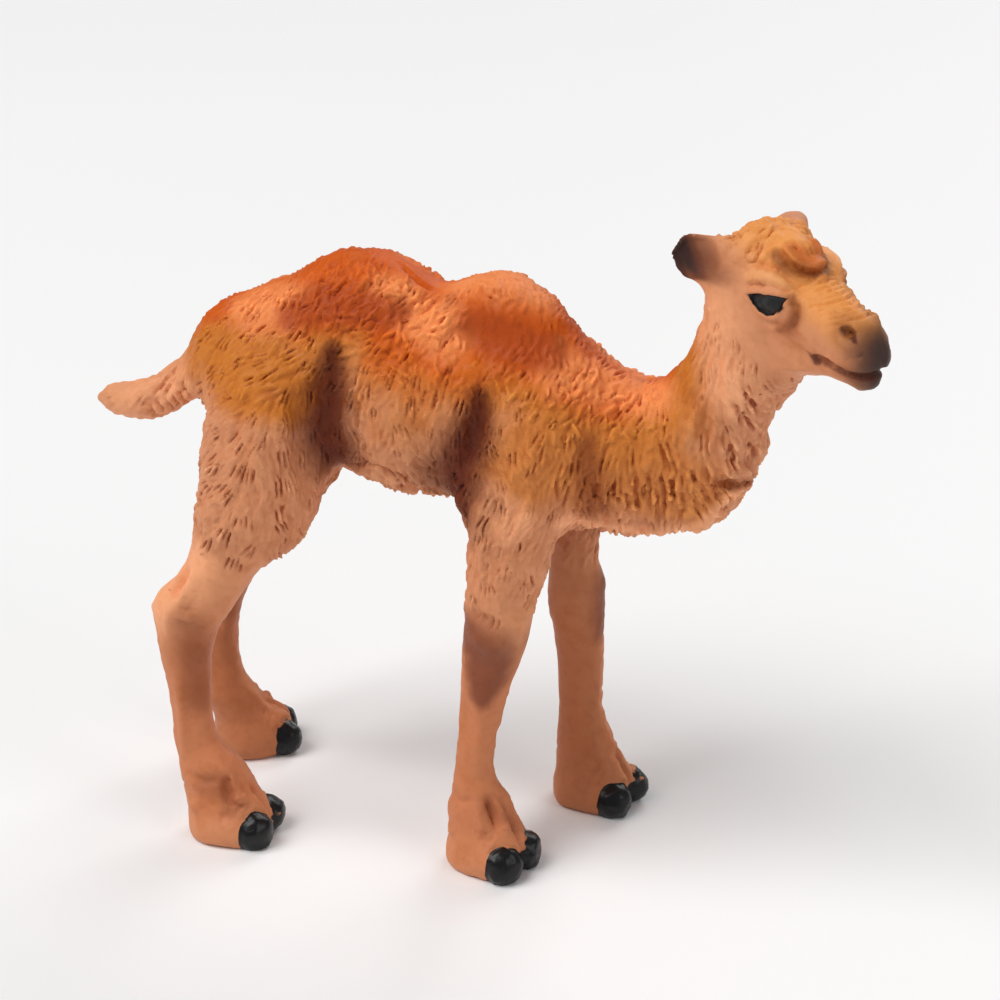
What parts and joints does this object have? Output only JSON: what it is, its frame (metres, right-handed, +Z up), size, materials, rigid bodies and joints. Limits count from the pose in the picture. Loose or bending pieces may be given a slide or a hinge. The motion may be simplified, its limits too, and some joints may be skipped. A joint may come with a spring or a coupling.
{
  "type": "toy camel calf figurine",
  "caption": "Moulded toy figurine of a Bactrian camel calf standing in mid-stride, with its head turned to one side, for play or display.",
  "frame": {"origin": "on the ground, in the middle of the footprint of the figure's box", "axes": "+X forward, the way the calf walks; +Y to its left; +Z up"},
  "size_m": [0.09, 0.0294, 0.0759],
  "materials": {
    "painted_vinyl": "satin, hand-painted"
  },
  "bodies": {
    "root": {"camel_calf": "painted_vinyl"}
  },
  "joints": []
}
